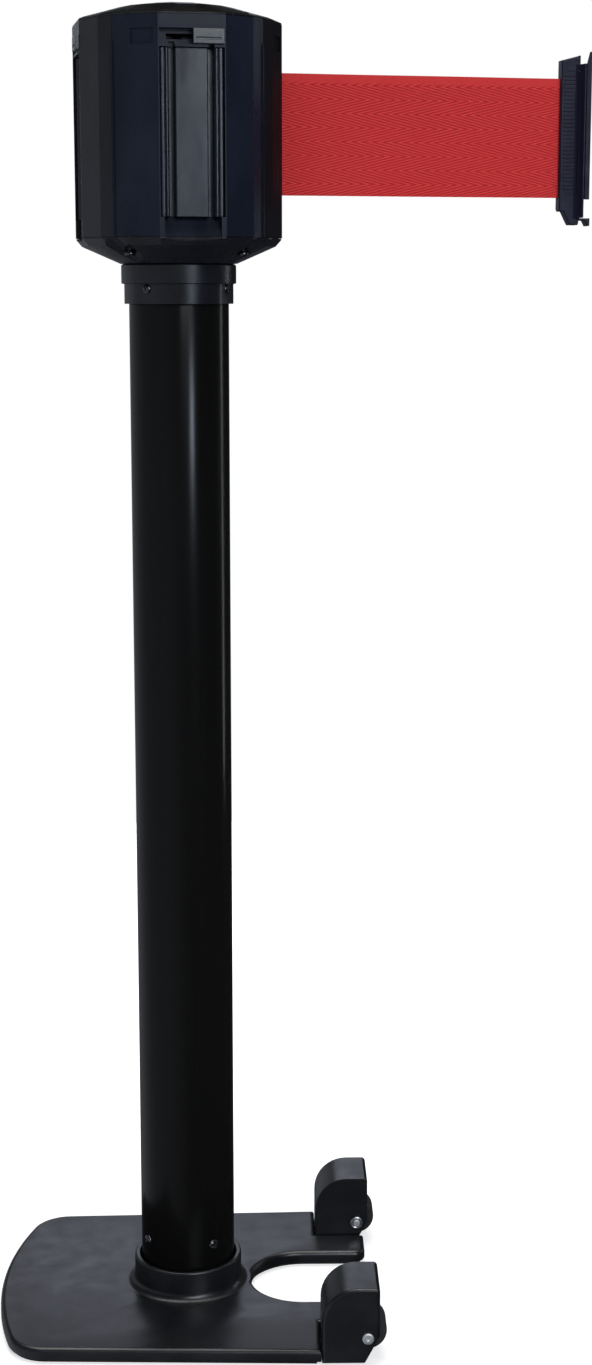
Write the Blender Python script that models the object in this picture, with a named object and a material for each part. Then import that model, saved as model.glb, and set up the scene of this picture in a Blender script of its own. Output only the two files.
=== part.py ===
"""A retractable belt stanchion: weighted base with two tilt wheels, round post, and a belt head with
three receivers and a spring-wound belt. Metres, +Z up. The origin is on the floor under the post.
The head faces the axes, with the belt leaving along +X. The base is turned a little under the post."""

import math

import bmesh
import bpy
from mathutils import Vector

GAP = 0.0003

# Post
POST_RADIUS = 0.0381
POST_WALL = 0.002
POST_FOOT = 0.0125
POST_TOP = 0.832
PLUG_RADIUS = POST_RADIUS - POST_WALL - GAP
FOOT_PLUG_TOP = 0.075
NECK_PLUG_LOW = 0.790
FOOT_SCREW_HEIGHT = 0.055
FOOT_SCREW_ANGLES = [math.radians(24 + 90 * k) for k in range(4)]

# Base, in its own axes: +X towards the wheels
BASE_TURN = math.radians(-10.6)
PAD_TOP = 0.0020
PLATE_LOW = PAD_TOP + GAP
PLATE_TOP = 0.0122
END_X = -0.1533
END_ARC_RADIUS = 0.336
CORNER_RADIUS = 0.032
SIDE_TAPER = 0.030
NOTCH_X = 0.096
NOTCH_RADIUS = 0.0438
ARM_END_X = 0.149
ARM_CORNER = 0.010
BOSS_RADIUS = 0.0439
BOSS_BORE = POST_RADIUS + 0.0012
BOSS_TOP = 0.0359
BOSS_FILLET_RADIUS = 0.0510
PLATE_ROUNDING = 0.0040
BASE_BOLT_RADIUS = 0.006
BASE_BOLT_HEAD_RADIUS = 0.0105
BASE_BOLT_RECESS = 0.0080
BASE_BOLT_TOP = 0.062

# Wheels and their fenders
FENDER_X0 = 0.1076
FENDER_X1 = 0.1524
FENDER_INNER_Y = 0.080
FENDER_OUTER_Y = 0.129
FENDER_LOW = 0.0010
FENDER_TOP = 0.063
FENDER_ARC = 0.028
FENDER_EDGE = 0.0025
FENDER_TOE_X = 0.1410
FENDER_TOE_Z = 0.0230
FENDER_SCREW_HEIGHT = 0.0075
FENDER_SCREW_RADIUS = 0.0021
WHEEL_MIDDLE_Y = (FENDER_INNER_Y + FENDER_OUTER_Y) / 2
CHEEK = 0.005
WHEEL_WELL_X = 0.1247
WHEEL_WELL_TOP = 0.041
AXLE_X = 0.1432
AXLE_Z = 0.0225
AXLE_RADIUS = 0.0030
WHEEL_RADIUS = 0.0153
WHEEL_WIDTH = 0.026
HUB_RADIUS = 0.0095
HUB_BOSS_RADIUS = 0.0055

# Neck
COLLAR_LOW = 0.8086
COLLAR_STEP = 0.8233
COLLAR_TOP = 0.8382
COLLAR_LOWER_RADIUS = 0.0416
COLLAR_UPPER_RADIUS = 0.0438
COLLAR_FLAT = 0.0403
COLLAR_SCREW_HEIGHT = 0.8195
COLLAR_SCREW_ANGLES = [math.radians(degrees) for degrees in (45, 145, 225, 325)]
COLLAR_LIP_RADIUS = 0.030
NECK_BOLT_RADIUS = 0.005
NECK_BOLT_LOW = 0.800
NECK_BOLT_SEAT = 0.8503
SET_SCREW_RADIUS = 0.002
SET_SCREW_END = 0.0265
SET_SCREW_HOLE = SET_SCREW_RADIUS + GAP

# Head: four wide faces with three narrow facets between each two
HEAD_RADIUS = 0.0794
FACE_HALF_ANGLE = math.radians(18)
CONE_LOW = COLLAR_TOP + GAP
CONE_FOOT_RADIUS = 0.0450
CONE_SHOULDER_RADIUS = 0.0745
CONE_SHOULDER = 0.8512
CONE_TOP = 0.8570
CONE_FLOOR = 0.8500
SCOOP_OFFSET = 0.0165
SCOOP_LOW_RADIUS = 0.0160
SCOOP_HIGH_RADIUS = 0.0220
SHELL_LOW = CONE_TOP + GAP
SHELL_TOP = 1.0127
SHELL_WALL = 0.0036
SHELL_BACK = 0.0590
SHELL_CHEEK_HALF = 0.0270
SHELL_CHEEK_DEPTH = 0.0098
SEAM_ANGLE = 44.88
RIB_RISE = 0.0011
RIB_HALF = 0.0013
RIB_TOP = 0.9950
CAP_LOW = SHELL_TOP + GAP
CAP_TOP = 1.0270
CHANNEL_LOW = 0.8710
CHANNEL_TOP = 0.9900
CHANNEL_HALF = 0.0238
CHANNEL_BACK = 0.0620
WINDOW_LOW = 0.9920
WINDOW_TOP = 1.0030
WINDOW_BACK = 0.0690
TRACK_LOW = 0.9955
TRACK_TOP = 0.9995
TRACK_HALF = 0.018
ENTRY_BACK = 0.066
PANEL_FACE = 0.0768
PANEL_HALF = 0.0085
LOCK_FACE = 0.0783
LOCK_BACK = 0.0722
LOCK_INNER = 0.0008
STEM_NEAR = 0.0090
STEM_FAR = 0.0145
FLANGE_BACK = 0.0550
FLANGE_LOW = 0.9930
FLANGE_TOP = 1.0020
GRIP_LOW = 0.9950
GRIP_TOP = 0.9964
SLOT_INNER = 0.0121
SLOT_OUTER = 0.0165
RECEIVER_FACE = 0.0722
RECEIVER_WALL = 0.0733
STATIONS = {"outlet": 0, "rear": 90, "left": 180, "front": 270}
TIE_RADIUS = 0.060
TIE_TOP = 1.0168
TIE_SCREW_RADIUS = 0.0022
TIE_HEAD_RADIUS = 0.0042
TIE_SEAT = 0.8480
TIE_ANGLES = [math.radians(45 + 90 * k) for k in range(4)]

# Belt, its spool and its clip
BELT_LOW = 0.8900
BELT_TOP = 0.9805
BELT_MIDDLE = (BELT_LOW + BELT_TOP) / 2
BELT_THICKNESS = 0.0008
BELT_WOUND_LENGTH = 2.78
CORE_RADIUS = 0.0143
ROLL_RADIUS = math.sqrt(CORE_RADIUS**2 + BELT_THICKNESS * BELT_WOUND_LENGTH / math.pi)
SPOOL_AXLE_RADIUS = 0.004
DRUM_FLANGE_RADIUS = 0.0400
SPRING_LOW = 0.8695
SPRING_TOP = 0.8845
CASSETTE_LOW = 0.8590
CASSETTE_TOP = 1.0060
GUIDE_X = 0.0525
GUIDE_Y = 0.0042
GUIDE_RADIUS = 0.0022
CLIP_X = 0.3005
CLIP_DEPTH = 0.0170
GRIP_HALF = 0.0048
FOLD_X = 0.0062
FOLD_HALF = 0.0030
WEDGE_RADIUS = 0.0018
FLARE_HALF = 0.0140
FLARE_LOW = 0.8745
RAIL_FRONT = CLIP_X + 0.0211
RAIL_LOW = 0.8885
RAIL_TOP = 0.9911
FIN_TOP = 0.9997
PRONG_INNER = 0.0126
PRONG_OUTER = 0.0152


# ---------------------------------------------------------------- shapes


def clear_scene():
    for obj in list(bpy.data.objects):
        bpy.data.objects.remove(obj, do_unlink=True)


def make_material(name, colour, roughness, metallic=0.0):
    mat = bpy.data.materials.new(name)
    mat.use_nodes = True
    shader = mat.node_tree.nodes["Principled BSDF"]
    shader.inputs["Base Color"].default_value = (*colour, 1.0)
    shader.inputs["Roughness"].default_value = roughness
    shader.inputs["Metallic"].default_value = metallic
    return mat


def make_empty(name, location=(0, 0, 0), turn=0.0, parent=None):
    empty = bpy.data.objects.new(name, None)
    empty.location = location
    empty.rotation_euler = (0, 0, turn)
    empty.parent = parent
    bpy.context.scene.collection.objects.link(empty)
    return empty


def solid(name, rings, mat, ring_closed=False, smooth=30):
    """A closed solid through rings of equally many points, capped at both ends or joined end to start."""
    bm = bmesh.new()
    rows = [[bm.verts.new(point) for point in ring] for ring in rings]
    pairs = list(zip(rows, rows[1:]))
    if ring_closed:
        pairs.append((rows[-1], rows[0]))
    else:
        bm.faces.new(rows[0])
        bm.faces.new(rows[-1])
    for low, high in pairs:
        for i in range(len(low)):
            j = (i + 1) % len(low)
            bm.faces.new((low[i], low[j], high[j], high[i]))
    bmesh.ops.recalc_face_normals(bm, faces=bm.faces)
    return finish_mesh(name, bm, mat, smooth)


def finish_mesh(name, bm, mat, smooth):
    mesh = bpy.data.meshes.new(name)
    bm.to_mesh(mesh)
    bm.free()
    if mat is not None:
        mesh.materials.append(mat)
    mesh.shade_smooth()
    mesh.set_sharp_from_angle(angle=math.radians(smooth))
    obj = bpy.data.objects.new(name, mesh)
    bpy.context.scene.collection.objects.link(obj)
    return obj


def prism(name, outline, low, high, mat):
    return solid(name, [[(x, y, z) for x, y in outline] for z in (low, high)], mat)


def box(name, low, high, mat=None):
    outline = [(low[0], low[1]), (high[0], low[1]), (high[0], high[1]), (low[0], high[1])]
    return prism(name, outline, low[2], high[2], mat)


def hull(name, points, mat=None):
    bm = bmesh.new()
    verts = [bm.verts.new(point) for point in points]
    bmesh.ops.convex_hull(bm, input=verts)
    bmesh.ops.recalc_face_normals(bm, faces=bm.faces)
    return finish_mesh(name, bm, mat, 30)


def circle(radius, height, count):
    step = 2 * math.pi / count
    return [(radius * math.cos(step * i), radius * math.sin(step * i), height) for i in range(count)]


def turned(name, profile, count, mat):
    """A solid turned about Z from (radius, height) points, with flat ends where the profile stops."""
    return solid(name, [circle(r, z, count) for r, z in profile], mat)


def turned_ring(name, profile, count, mat):
    """A ring turned about Z from a closed profile of (radius, height) points."""
    return solid(name, [circle(r, z, count) for r, z in profile], mat, ring_closed=True)


def arc(centre, radius, start, end, count):
    """Points on an arc from start to end, in degrees, with both ends."""
    angles = [math.radians(start + (end - start) * i / count) for i in range(count + 1)]
    return [(centre[0] + radius * math.cos(a), centre[1] + radius * math.sin(a)) for a in angles]


def inset(outline, depth):
    """The anticlockwise outline moved inwards by depth, with mitred corners."""
    moved = []
    for i, point in enumerate(outline):
        here = Vector(point)
        before = (here - Vector(outline[i - 1])).normalized()
        after = (Vector(outline[(i + 1) % len(outline)]) - here).normalized()
        n1 = Vector((-before.y, before.x))
        n2 = Vector((-after.y, after.x))
        shift = (n1 + n2) * (depth / (1 + n1.dot(n2)))
        moved.append((here.x + shift.x, here.y + shift.y))
    return moved


def place(obj, parent=None, location=(0, 0, 0), rotation=(0, 0, 0)):
    obj.parent = parent
    obj.location = location
    obj.rotation_euler = rotation
    return obj


def combine(obj, other, operation):
    other.hide_render = True
    other.display_type = "WIRE"
    modifier = obj.modifiers.new(other.name, "BOOLEAN")
    modifier.object = other
    modifier.operation = operation


def cut(obj, *cutters):
    for cutter in cutters:
        combine(obj, cutter, "DIFFERENCE")


def join(obj, *others):
    for other in others:
        combine(obj, other, "UNION")


def drill(name, radius, start, end, count=12, parent=None, rotation=(0, 0, 0), location=(0, 0, 0)):
    """A cutter along its own Z from start to end."""
    cutter = turned(name, [(radius, start), (radius, end)], count, None)
    return place(cutter, parent, location, rotation)


def screw(name, mat, head_radius, head_start, head_thickness, shank_radius, shank_end):
    """A button-headed screw along Z, its head out at +Z, with a driver socket."""
    head_end = head_start + head_thickness
    socket = head_radius * 0.42
    profile = [
        (shank_radius, shank_end),
        (shank_radius, head_start),
        (head_radius, head_start),
        (head_radius * 0.96, head_start + head_thickness * 0.45),
        (head_radius * 0.62, head_end),
        (socket, head_end),
        (socket, head_end - head_thickness * 0.6),
    ]
    return turned(name, profile, 12, mat)


# ---------------------------------------------------------------- base


def left_end_outline():
    """The side corner and half the bowed end, from the side edge at y > 0 to the middle of the end."""
    centre_x = END_X + END_ARC_RADIUS
    side = FENDER_OUTER_Y - SIDE_TAPER * FENDER_X0
    lean = math.atan(SIDE_TAPER)
    drop = side - CORNER_RADIUS / math.cos(lean)
    reach = END_ARC_RADIUS - CORNER_RADIUS
    a = 1 + SIDE_TAPER**2
    b = drop * SIDE_TAPER - centre_x
    c = centre_x**2 + drop**2 - reach**2
    x = (-b - math.sqrt(b * b - a * c)) / a
    y = drop + SIDE_TAPER * x
    meet = math.degrees(math.atan2(y, x - centre_x))
    corner = arc((x, y), CORNER_RADIUS, 90 + math.degrees(lean), meet, 7)
    bow = arc((centre_x, 0), END_ARC_RADIUS, meet, 180, 6)
    return corner + bow[1:]


def base_outline():
    """The plate's outline, anticlockwise: bowed end, tapered sides, wheel corners and the notch."""
    half = arc((NOTCH_X, 0), NOTCH_RADIUS, 180, 90, 12)
    tip = (ARM_END_X - ARM_CORNER, NOTCH_RADIUS + ARM_CORNER)
    half += arc(tip, ARM_CORNER, -90, 0, 4)
    half += [(ARM_END_X, FENDER_INNER_Y - GAP), (FENDER_X0 - GAP, FENDER_INNER_Y - GAP)]
    half += [(FENDER_X0 - GAP, FENDER_OUTER_Y)]
    half += left_end_outline()
    mirrored = [(x, -y) for x, y in reversed(half)]
    return half + mirrored[1:-1]


def make_floor_pad(base, mat):
    outline = inset(base_outline(), 0.0035)
    return place(prism("floor_pad", outline, 0, PAD_TOP, mat), base)


def make_base_plate(base, mat):
    outline = base_outline()
    chamfer = 0.0014
    shoulder = 0.0012
    levels = [(PLATE_LOW, chamfer), (PLATE_LOW + chamfer, 0.0), (PLATE_TOP - 0.0035, 0.0)]
    levels += [(PLATE_TOP - shoulder, shoulder), (PLATE_TOP, PLATE_ROUNDING)]
    rings = [[(x, y, z) for x, y in inset(outline, depth)] for z, depth in levels]
    plate = place(solid("base_plate", rings, mat), base)
    foot = PLATE_TOP - 0.002
    profile = [
        (BOSS_BORE, foot),
        (BOSS_FILLET_RADIUS, foot),
        (BOSS_FILLET_RADIUS, PLATE_TOP + 0.0003),
        (BOSS_RADIUS + 0.0033, PLATE_TOP + 0.0016),
        (BOSS_RADIUS + 0.0012, PLATE_TOP + 0.0042),
        (BOSS_RADIUS, PLATE_TOP + 0.0080),
        (BOSS_RADIUS, BOSS_TOP - 0.0014),
        (BOSS_RADIUS - 0.0012, BOSS_TOP),
        (BOSS_BORE + 0.0010, BOSS_TOP),
        (BOSS_BORE, BOSS_TOP - 0.0010),
    ]
    join(plate, place(turned_ring("boss_shape", profile, 40, None), base))
    below = -0.01
    bolt_hole = drill("bolt_hole", BASE_BOLT_RADIUS + 0.0004, below, PLATE_TOP + 0.01, 16, base)
    recess = drill("bolt_recess", BASE_BOLT_HEAD_RADIUS + 0.002, below, BASE_BOLT_RECESS, 16, base)
    cut(plate, bolt_hole, recess)
    for side, sign in (("front", -1), ("rear", 1)):
        spot = (FENDER_X0 - 0.016, sign * WHEEL_MIDDLE_Y, FENDER_SCREW_HEIGHT)
        tapping = drill(f"{side}_fender_tapping", FENDER_SCREW_RADIUS + GAP, 0, 0.03, 10)
        cut(plate, place(tapping, base, spot, (0, math.pi / 2, 0)))
    return plate


def make_base_bolt(mat):
    """Holds the foot plug and the post down on the plate, from below."""
    head_low = PLATE_LOW + 0.0005
    chamfer = 0.0010
    seat = BASE_BOLT_RECESS - GAP
    head = BASE_BOLT_HEAD_RADIUS
    profile = [(head - chamfer, head_low), (head, head_low + 0.6 * chamfer), (head, seat)]
    profile += [(BASE_BOLT_RADIUS, seat), (BASE_BOLT_RADIUS, BASE_BOLT_TOP)]
    return turned("base_bolt", profile, 12, mat)


def fender_outline():
    """The fender's side view as (x, z), anticlockwise from its low back corner."""
    chamfer = [(FENDER_TOE_X, FENDER_LOW), (FENDER_X1, FENDER_TOE_Z)]
    corner = 0.003
    top_right = arc((FENDER_X1 - corner, FENDER_TOP - corner), corner, 0, 90, 3)
    centre = (FENDER_X0 + FENDER_ARC, FENDER_TOP - FENDER_ARC)
    return [(FENDER_X0, FENDER_LOW), *chamfer, *top_right, *arc(centre, FENDER_ARC, 90, 180, 10)]


def make_fender(side, sign, base, mat):
    outline = fender_outline()
    levels = [(FENDER_INNER_Y, 0.0), (FENDER_OUTER_Y - FENDER_EDGE, 0.0)]
    levels += [(FENDER_OUTER_Y - FENDER_EDGE * 0.3, FENDER_EDGE * 0.3), (FENDER_OUTER_Y, FENDER_EDGE)]
    rings = [[(x, sign * y, z) for x, z in inset(outline, depth)] for y, depth in levels]
    fender = place(solid(f"{side}_wheel_fender", rings, mat), base)
    well_y = sorted((sign * (FENDER_INNER_Y + CHEEK), sign * (FENDER_OUTER_Y - CHEEK)))
    well = box(f"{side}_well", (WHEEL_WELL_X, well_y[0], -0.01), (0.18, well_y[1], WHEEL_WELL_TOP))
    cut(fender, place(well, base))
    middle = sign * WHEEL_MIDDLE_Y
    axle_hole = drill(f"{side}_axle_hole", AXLE_RADIUS + 0.0001, -0.04, 0.04, 16)
    cut(fender, place(axle_hole, base, (AXLE_X, middle, AXLE_Z), (math.pi / 2, 0, 0)))
    screw_hole = drill(f"{side}_fender_hole", FENDER_SCREW_RADIUS + 0.0005, 0, 0.04, 10)
    spot = (FENDER_X0 - 0.01, middle, FENDER_SCREW_HEIGHT)
    cut(fender, place(screw_hole, base, spot, (0, math.pi / 2, 0)))
    return fender


def make_fender_screw(side, sign, base, mat):
    seat = WHEEL_WELL_X + GAP
    end = FENDER_X0 - 0.0131
    fastener = screw(f"{side}_fender_screw", mat, 0.0042, seat, 0.0022, FENDER_SCREW_RADIUS, end)
    spot = (0, sign * WHEEL_MIDDLE_Y, FENDER_SCREW_HEIGHT)
    return place(fastener, base, spot, (0, math.pi / 2, 0))


def make_wheel(side, sign, base, materials):
    """Hub and tyre on one axis, in the fender's well."""
    axis = make_empty(f"{side}_wheel_axis", (AXLE_X, sign * WHEEL_MIDDLE_Y, AXLE_Z), 0, base)
    half = WHEEL_WIDTH / 2
    boss_end = half + 0.002
    bore = AXLE_RADIUS + 0.0001
    hub_profile = [
        (bore, -boss_end),
        (HUB_BOSS_RADIUS, -boss_end),
        (HUB_BOSS_RADIUS, -half),
        (HUB_RADIUS, -half),
        (HUB_RADIUS, half),
        (HUB_BOSS_RADIUS, half),
        (HUB_BOSS_RADIUS, boss_end),
        (bore, boss_end),
    ]
    edge = 0.0025
    side_z = half - 0.0005
    tyre_profile = [
        (HUB_RADIUS + GAP, -side_z),
        (WHEEL_RADIUS - edge, -side_z),
        (WHEEL_RADIUS, -side_z + edge),
        (WHEEL_RADIUS, side_z - edge),
        (WHEEL_RADIUS - edge, side_z),
        (HUB_RADIUS + GAP, side_z),
    ]
    hub = turned_ring(f"{side}_wheel_hub", hub_profile, 20, materials["nylon"])
    tyre = turned_ring(f"{side}_wheel_tyre", tyre_profile, 28, materials["tyre"])
    for obj in (hub, tyre):
        place(obj, axis, (0, 0, 0), (math.pi / 2, 0, 0))


def make_axle(side, sign, base, mat):
    """A headed pin through both cheeks, its domed head outside, and the clip that keeps it in."""
    face = FENDER_OUTER_Y + GAP
    end = FENDER_INNER_Y - 0.003
    chamfer = 0.0006
    head = 0.0046
    profile = [
        (AXLE_RADIUS - chamfer, end),
        (AXLE_RADIUS, end + chamfer),
        (AXLE_RADIUS, face),
        (head, face),
        (head, face + 0.0007),
        (head * 0.7, face + 0.0016),
        (head * 0.24, face + 0.0018),
        (head * 0.20, face + 0.0010),
    ]
    lean = (-sign * math.pi / 2, 0, 0)
    place(turned(f"{side}_axle_pin", profile, 20, mat), base, (AXLE_X, 0, AXLE_Z), lean)
    clip_low = end + 0.0012
    clip_high = clip_low + 0.0010
    clip_radius = 0.0058
    clip = [(AXLE_RADIUS + GAP, clip_low), (clip_radius, clip_low)]
    clip += [(clip_radius, clip_high), (AXLE_RADIUS + GAP, clip_high)]
    place(turned_ring(f"{side}_axle_clip", clip, 20, mat), base, (AXLE_X, 0, AXLE_Z), lean)


# ---------------------------------------------------------------- post and neck


def radial(obj, angle, height):
    """Turns a piece built along Z to point out from the post at that angle and height."""
    return place(obj, None, (0, 0, height), (0, math.pi / 2, angle))


def cut_radial_holes(obj, name, angles, height):
    for k, angle in enumerate(angles):
        cutter = drill(f"{name}_{k + 1}", SET_SCREW_HOLE, SET_SCREW_END - 0.0025, POST_RADIUS + 0.02)
        cut(obj, radial(cutter, angle, height))


def make_set_screws(name, angles, height, seat, head_radius, head_thickness, mat):
    """Button-headed screws that point in at the post from all round it."""
    for k, angle in enumerate(angles):
        size = (head_radius, seat, head_thickness, SET_SCREW_RADIUS, SET_SCREW_END)
        radial(screw(f"{name}_{k + 1}", mat, *size), angle, height)


def make_post(materials):
    inner = POST_RADIUS - POST_WALL
    profile = [(inner, POST_FOOT), (POST_RADIUS, POST_FOOT), (POST_RADIUS, POST_TOP), (inner, POST_TOP)]
    post = turned_ring("post_tube", profile, 48, materials["post_paint"])
    cut_radial_holes(post, "foot_hole", FOOT_SCREW_ANGLES, FOOT_SCREW_HEIGHT)
    cut_radial_holes(post, "neck_hole", COLLAR_SCREW_ANGLES, COLLAR_SCREW_HEIGHT)
    foot = [(PLUG_RADIUS, POST_FOOT), (PLUG_RADIUS, FOOT_PLUG_TOP)]
    foot_plug = turned("foot_plug", foot, 32, materials["cast"])
    cut(foot_plug, drill("foot_bolt_bore", BASE_BOLT_RADIUS + GAP, 0, FOOT_PLUG_TOP + 0.01, 16))
    cut_radial_holes(foot_plug, "foot_tapping", FOOT_SCREW_ANGLES, FOOT_SCREW_HEIGHT)
    mat = materials["black_steel"]
    seat = POST_RADIUS + 0.0005
    make_set_screws("foot_screw", FOOT_SCREW_ANGLES, FOOT_SCREW_HEIGHT, seat, 0.0044, 0.0022, mat)


def collar_ring(radius, flat, height, count=72):
    """A ring with a flat panel at each screw."""
    points = []
    for i in range(count):
        angle = 2 * math.pi * i / count
        from_panel = max(math.cos(angle - panel) for panel in COLLAR_SCREW_ANGLES)
        reach = min(radius, flat / from_panel)
        points.append((reach * math.cos(angle), reach * math.sin(angle), height))
    return points


def make_neck(materials):
    bore = POST_RADIUS + GAP
    lip = POST_TOP + 0.0006
    chamfer = 0.001
    rings = [
        circle(bore, COLLAR_LOW, 72),
        collar_ring(COLLAR_LOWER_RADIUS, COLLAR_FLAT, COLLAR_LOW),
        collar_ring(COLLAR_LOWER_RADIUS, COLLAR_FLAT, COLLAR_STEP),
        circle(COLLAR_UPPER_RADIUS, COLLAR_STEP + 0.0006, 72),
        circle(COLLAR_UPPER_RADIUS, COLLAR_TOP - chamfer, 72),
        circle(COLLAR_UPPER_RADIUS - chamfer, COLLAR_TOP, 72),
        circle(COLLAR_LIP_RADIUS, COLLAR_TOP, 72),
        circle(COLLAR_LIP_RADIUS, lip, 72),
        circle(bore, lip, 72),
    ]
    collar = solid("neck_collar", rings, materials["head_plastic"], ring_closed=True)
    cut_radial_holes(collar, "collar_hole", COLLAR_SCREW_ANGLES, COLLAR_SCREW_HEIGHT)
    plug = [(PLUG_RADIUS, NECK_PLUG_LOW), (PLUG_RADIUS, POST_TOP)]
    neck_plug = turned("neck_plug", plug, 32, materials["cast"])
    bore_low = NECK_PLUG_LOW - 0.01
    cut(neck_plug, drill("neck_bolt_bore", NECK_BOLT_RADIUS + GAP, bore_low, POST_TOP + 0.01))
    cut_radial_holes(neck_plug, "neck_tapping", COLLAR_SCREW_ANGLES, COLLAR_SCREW_HEIGHT)
    mat = materials["black_steel"]
    seat = COLLAR_FLAT + 0.0004
    size = (0.0036, 0.0018, mat)
    make_set_screws("collar_screw", COLLAR_SCREW_ANGLES, COLLAR_SCREW_HEIGHT, seat, *size)
    head_radius = 0.0090
    head_top = NECK_BOLT_SEAT + 0.006
    bolt = [(NECK_BOLT_RADIUS, NECK_BOLT_LOW), (NECK_BOLT_RADIUS, NECK_BOLT_SEAT)]
    bolt += [(head_radius, NECK_BOLT_SEAT), (head_radius, head_top)]
    turned("neck_bolt", bolt, 12, mat)


# ---------------------------------------------------------------- head


def head_ring(radius, height):
    """The head's plan at that radius: a wide face towards each station, three narrow facets between."""
    points = []
    for station in range(4):
        for k in range(4):
            angle = math.pi / 2 * station + FACE_HALF_ANGLE * (1 + k)
            points.append((radius * math.cos(angle), radius * math.sin(angle), height))
    return points


def pocket_cutter(name, station):
    """The scooped landing under a receiver: it slopes out and down to a shallow V."""
    back, front = 0.066, 0.082
    back_half, front_half = 0.020, 0.0215
    side_low, middle_low = 0.8440, 0.8360
    points = [(back, s * back_half, CHANNEL_LOW) for s in (-1, 1)]
    points += [(front, s * front_half, z) for s in (-1, 1) for z in (CHANNEL_LOW, side_low)]
    points += [(front, 0, middle_low)]
    return place(hull(name, points), station)


def tie_spot(angle):
    return (TIE_RADIUS * math.cos(angle), TIE_RADIUS * math.sin(angle), 0)


def corner_scoop(name, angle):
    """A tapered hollow up the cone's slope at a corner, round a tie screw's head."""
    slope = math.atan2(CONE_SHOULDER - CONE_LOW, CONE_SHOULDER_RADIUS - CONE_FOOT_RADIUS)
    facet = math.cos(FACE_HALF_ANGLE / 2)
    middle_radius = facet * (CONE_FOOT_RADIUS + CONE_SHOULDER_RADIUS) / 2
    middle_height = (CONE_LOW + CONE_SHOULDER) / 2
    out = middle_radius + SCOOP_OFFSET * math.sin(slope)
    height = middle_height - SCOOP_OFFSET * math.cos(slope)
    half_length = 0.030
    cutter = turned(name, [(SCOOP_LOW_RADIUS, -half_length), (SCOOP_HIGH_RADIUS, half_length)], 24, None)
    spot = (out * math.cos(angle), out * math.sin(angle), height)
    return place(cutter, None, spot, (0, math.pi / 2 - slope, angle))


def make_cone(stations, mat):
    rim = HEAD_RADIUS - 0.0006
    rings = [
        head_ring(CONE_FOOT_RADIUS, CONE_LOW),
        head_ring(CONE_SHOULDER_RADIUS, CONE_SHOULDER),
        head_ring(rim, CONE_TOP - 0.0010),
        head_ring(rim, CONE_TOP),
        head_ring(0.0700, CONE_TOP),
        head_ring(0.0580, CONE_FLOOR),
    ]
    cone = solid("head_cone", rings, mat, smooth=15)
    for name, station in stations.items():
        cut(cone, pocket_cutter(f"{name}_cone_pocket", station))
    for k, angle in enumerate(TIE_ANGLES):
        cut(cone, corner_scoop(f"corner_scoop_{k + 1}", angle))
        hole = drill(f"tie_hole_{k + 1}", TIE_SCREW_RADIUS + 0.0004, CONE_LOW - 0.01, CONE_TOP + 0.01, 10)
        seat = drill(f"tie_seat_{k + 1}", TIE_HEAD_RADIUS + 0.0004, CONE_LOW - 0.02, TIE_SEAT)
        cut(cone, place(hole, None, tie_spot(angle)), place(seat, None, tie_spot(angle)))
    cut(cone, drill("neck_bolt_hole", NECK_BOLT_RADIUS + GAP, CONE_LOW - 0.02, CONE_TOP + 0.01))
    return cone


def facet_point(radius, degrees):
    """The point of the head's plan at that angle on the narrow facet that spans 36 to 54 degrees."""
    reach = radius * math.cos(FACE_HALF_ANGLE / 2) / math.cos(math.radians(degrees - 45))
    return (reach * math.cos(math.radians(degrees)), reach * math.sin(math.radians(degrees)))


def shell_outline():
    """A quarter of the head's wall in plan, round +X, thick behind its receiver."""
    inner = HEAD_RADIUS - SHELL_WALL
    corner = FACE_HALF_ANGLE
    outer_half = [
        (HEAD_RADIUS * math.cos(corner), HEAD_RADIUS * math.sin(corner)),
        (HEAD_RADIUS * math.cos(2 * corner), HEAD_RADIUS * math.sin(2 * corner)),
        facet_point(HEAD_RADIUS, SEAM_ANGLE),
    ]
    inner_half = [
        facet_point(inner, SEAM_ANGLE),
        (inner * math.cos(2 * corner), inner * math.sin(2 * corner)),
        (HEAD_RADIUS - SHELL_CHEEK_DEPTH, SHELL_CHEEK_HALF),
        (SHELL_BACK, SHELL_CHEEK_HALF),
    ]
    half = outer_half + inner_half
    return [(x, -y) for x, y in reversed(half)] + half


def seam_rib(name, sign, station):
    """Half of the raised rib that covers a seam between two quarters."""
    face = HEAD_RADIUS * math.cos(FACE_HALF_ANGLE / 2)
    near, far = sorted((-sign * GAP / 2, -sign * RIB_HALF))
    rib = box(name, (face - 0.002, near, SHELL_LOW), (face + RIB_RISE, far, RIB_TOP))
    return place(rib, station, (0, 0, 0), (0, 0, sign * math.pi / 4))


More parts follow.
